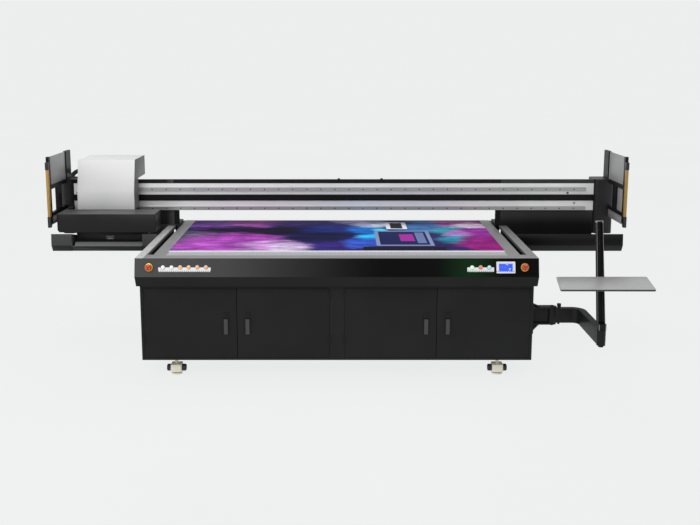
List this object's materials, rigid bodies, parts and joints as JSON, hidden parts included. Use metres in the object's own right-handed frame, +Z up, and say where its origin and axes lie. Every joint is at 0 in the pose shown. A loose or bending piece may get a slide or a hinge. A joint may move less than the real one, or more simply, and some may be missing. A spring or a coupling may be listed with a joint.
{
  "type": "flatbed uv printer",
  "caption": "Wide flatbed UV printer: vacuum bed on a door-fronted cabinet, travelling gantry with print carriage, safety wings and a shelf on a swing arm.",
  "frame": {"origin": "on the floor, under the middle of the bounding box", "axes": "+X to the operator's right along the gantry, +Y to the rear, +Z up"},
  "size_m": [4.736, 2.7352, 1.557],
  "materials": {
    "frame_steel": "black powder coat",
    "black_sheet": "fine-texture black powder coat",
    "door_black": "satin black powder coat",
    "console_black": "satin black paint",
    "legend_plate": "printed film",
    "bezel_metal": "polished",
    "lamp_plastic": "translucent",
    "stop_red": "moulded red",
    "bed_aluminium": "anodised",
    "table_aluminium": "anodised, drilled",
    "board_print": "printed sheet",
    "blower_metal": "cast",
    "rail_steel": "ground",
    "caster_ivory": "ivory enamel",
    "wheel_black": "moulded nylon",
    "socket_blue": "moulded blue",
    "arm_black": "satin black",
    "post_black": "black anodised",
    "shelf_grey": "satin grey",
    "beam_aluminium": "clear anodised",
    "housing_dark": "satin black",
    "curtain_yellow": "safety yellow",
    "panel_grey": "tinted sheet",
    "cover_silver": "silver metallic",
    "chain_plastic": "moulded nylon",
    "head_metal": "stainless",
    "head_black": "moulded",
    "pad_rubber": "moulded",
    "bolt_steel": "black oxide"
  },
  "bodies": {
    "base": {"base_frame": "frame_steel", "body_panels": "black_sheet", "front_surround": "black_sheet", "console_housing": "console_black", "control_plates": "legend_plate", "control_bezels": "bezel_metal", "table_rails": "bed_aluminium", "vacuum_table": "table_aluminium", "print_board": "board_print", "vacuum_blower": "blower_metal", "control_cabinet": "black_sheet", "y_rails": "rail_steel", "caster_housings": "caster_ivory", "power_sockets": "socket_blue", "arm_bracket": "arm_black", "fasteners": "bolt_steel"},
    "gantry": {"gantry_beam": "beam_aluminium", "x_guideway": "rail_steel", "beam_top": "housing_dark", "end_housings": "housing_dark", "gantry_legs": "housing_dark", "outrigger_boxes": "housing_dark", "maintenance_station": "housing_dark", "safety_wings": "housing_dark", "wing_panels": "panel_grey", "light_curtains": "curtain_yellow"},
    "carriage": {"carriage_plate": "head_metal", "carriage_cover": "cover_silver", "cable_chain": "chain_plastic"},
    "head_unit": {"head_plate": "head_metal", "print_heads": "head_black", "uv_lamps": "head_black"},
    "caps": {"cap_unit": "pad_rubber"},
    "drawer": {"waste_drawer": "housing_dark"},
    "arm": {"swing_arm": "arm_black"},
    "post": {"post": "post_black", "shelf": "shelf_grey"},
    "door_1": {"door_1": "door_black"},
    "handle_1": {"handle_1": "arm_black"},
    "door_2": {"door_2": "door_black"},
    "handle_2": {"handle_2": "arm_black"},
    "door_3": {"door_3": "door_black"},
    "handle_3": {"handle_3": "arm_black"},
    "door_4": {"door_4": "door_black"},
    "handle_4": {"handle_4": "arm_black"},
    "push_button_1": {"push_button_1": "lamp_plastic"},
    "push_button_2": {"push_button_2": "lamp_plastic"},
    "push_button_3": {"push_button_3": "lamp_plastic"},
    "push_button_4": {"push_button_4": "lamp_plastic"},
    "push_button_5": {"push_button_5": "lamp_plastic"},
    "push_button_6": {"push_button_6": "lamp_plastic"},
    "push_button_7": {"push_button_7": "lamp_plastic"},
    "push_button_8": {"push_button_8": "lamp_plastic"},
    "push_button_9": {"push_button_9": "lamp_plastic"},
    "emergency_stop_left": {"emergency_stop_left": "stop_red"},
    "emergency_stop_right": {"emergency_stop_right": "stop_red"},
    "caster_wheels_front_left": {"caster_wheels_front_left": "wheel_black"},
    "caster_wheels_front_right": {"caster_wheels_front_right": "wheel_black"},
    "caster_wheels_rear_left": {"caster_wheels_rear_left": "wheel_black"},
    "caster_wheels_rear_right": {"caster_wheels_rear_right": "wheel_black"}
  },
  "joints": [
    {"name": "gantry_travel", "type": "slide", "parent": "base", "child": "gantry", "axis": [0, 1, 0], "range_m": [-0.87, 0.4]},
    {"name": "carriage_travel", "type": "slide", "parent": "gantry", "child": "carriage", "axis": [1, 0, 0], "range_m": [0, 3.7]},
    {"name": "head_lift", "type": "slide", "parent": "carriage", "child": "head_unit", "axis": [0, 0, 1], "range_m": [-0.047, 0.053]},
    {"name": "cap_lift", "type": "slide", "parent": "gantry", "child": "caps", "axis": [0, 0, 1], "range_m": [0, 0.05]},
    {"name": "drawer_slide", "type": "slide", "parent": "gantry", "child": "drawer", "axis": [0, -1, 0], "range_m": [0, 0.2]},
    {"name": "door_1_hinge", "type": "hinge", "parent": "base", "child": "door_1", "pos_m": [-1.422, -0.58492, 0.417], "axis": [0, 0, -1], "range_deg": [0, 110]},
    {"name": "door_2_hinge", "type": "hinge", "parent": "base", "child": "door_2", "pos_m": [-0.055, -0.58492, 0.417], "axis": [0, 0, 1], "range_deg": [0, 80]},
    {"name": "door_3_hinge", "type": "hinge", "parent": "base", "child": "door_3", "pos_m": [0.055, -0.58492, 0.417], "axis": [0, 0, -1], "range_deg": [0, 80]},
    {"name": "door_4_hinge", "type": "hinge", "parent": "base", "child": "door_4", "pos_m": [1.422, -0.58492, 0.417], "axis": [0, 0, 1], "range_deg": [0, 110]},
    {"name": "handle_1_lift", "type": "hinge", "parent": "door_1", "child": "handle_1", "pos_m": [-0.816, -0.59092, 0.443], "axis": [-1, 0, 0], "range_deg": [0, 40]},
    {"name": "handle_2_lift", "type": "hinge", "parent": "door_2", "child": "handle_2", "pos_m": [-0.657, -0.59092, 0.443], "axis": [-1, 0, 0], "range_deg": [0, 40]},
    {"name": "handle_3_lift", "type": "hinge", "parent": "door_3", "child": "handle_3", "pos_m": [0.657, -0.59092, 0.443], "axis": [-1, 0, 0], "range_deg": [0, 40]},
    {"name": "handle_4_lift", "type": "hinge", "parent": "door_4", "child": "handle_4", "pos_m": [0.816, -0.59092, 0.443], "axis": [-1, 0, 0], "range_deg": [0, 40]},
    {"name": "push_button_1_press", "type": "slide", "parent": "base", "child": "push_button_1", "axis": [0, 0.9748, -0.2232], "range_m": [0, 0.004], "stiffness_N_per_m": 400, "springref_m": -0.002},
    {"name": "push_button_2_press", "type": "slide", "parent": "base", "child": "push_button_2", "axis": [0, 0.9748, -0.2232], "range_m": [0, 0.004], "stiffness_N_per_m": 400, "springref_m": -0.002},
    {"name": "push_button_3_press", "type": "slide", "parent": "base", "child": "push_button_3", "axis": [0, 0.9748, -0.2232], "range_m": [0, 0.004], "stiffness_N_per_m": 400, "springref_m": -0.002},
    {"name": "push_button_4_press", "type": "slide", "parent": "base", "child": "push_button_4", "axis": [0, 0.9748, -0.2232], "range_m": [0, 0.004], "stiffness_N_per_m": 400, "springref_m": -0.002},
    {"name": "push_button_5_press", "type": "slide", "parent": "base", "child": "push_button_5", "axis": [0, 0.9748, -0.2232], "range_m": [0, 0.004], "stiffness_N_per_m": 400, "springref_m": -0.002},
    {"name": "push_button_6_press", "type": "slide", "parent": "base", "child": "push_button_6", "axis": [0, 0.9748, -0.2232], "range_m": [0, 0.004], "stiffness_N_per_m": 400, "springref_m": -0.002},
    {"name": "push_button_7_press", "type": "slide", "parent": "base", "child": "push_button_7", "axis": [0, 0.9748, -0.2232], "range_m": [0, 0.004], "stiffness_N_per_m": 400, "springref_m": -0.002},
    {"name": "push_button_8_press", "type": "slide", "parent": "base", "child": "push_button_8", "axis": [0, 0.9748, -0.2232], "range_m": [0, 0.004], "stiffness_N_per_m": 400, "springref_m": -0.002},
    {"name": "push_button_9_press", "type": "slide", "parent": "base", "child": "push_button_9", "axis": [0, 0.9748, -0.2232], "range_m": [0, 0.004], "stiffness_N_per_m": 400, "springref_m": -0.002},
    {"name": "emergency_stop_left_press", "type": "slide", "parent": "base", "child": "emergency_stop_left", "axis": [0, 0.9748, -0.2232], "range_m": [0, 0.005]},
    {"name": "emergency_stop_right_press", "type": "slide", "parent": "base", "child": "emergency_stop_right", "axis": [0, 0.9748, -0.2232], "range_m": [0, 0.005]},
    {"name": "arm_swing", "type": "hinge", "parent": "base", "child": "arm", "pos_m": [1.601, -0.49042, 0.453], "axis": [0, 0, 1], "range_deg": [-20, 60]},
    {"name": "post_swivel", "type": "hinge", "parent": "arm", "child": "post", "pos_m": [1.813, -1.04542, 0.453], "axis": [0, 0, 1], "range_deg": [-45, 45]},
    {"name": "caster_wheels_front_left_spin", "type": "hinge", "parent": "base", "child": "caster_wheels_front_left", "pos_m": [-1.204, -0.49042, 0.046], "axis": [1, 0, 0], "continuous": true},
    {"name": "caster_wheels_front_right_spin", "type": "hinge", "parent": "base", "child": "caster_wheels_front_right", "pos_m": [1.204, -0.49042, 0.046], "axis": [1, 0, 0], "continuous": true},
    {"name": "caster_wheels_rear_left_spin", "type": "hinge", "parent": "base", "child": "caster_wheels_rear_left", "pos_m": [-1.204, 1.20958, 0.046], "axis": [1, 0, 0], "continuous": true},
    {"name": "caster_wheels_rear_right_spin", "type": "hinge", "parent": "base", "child": "caster_wheels_rear_right", "pos_m": [1.204, 1.20958, 0.046], "axis": [1, 0, 0], "continuous": true}
  ]
}
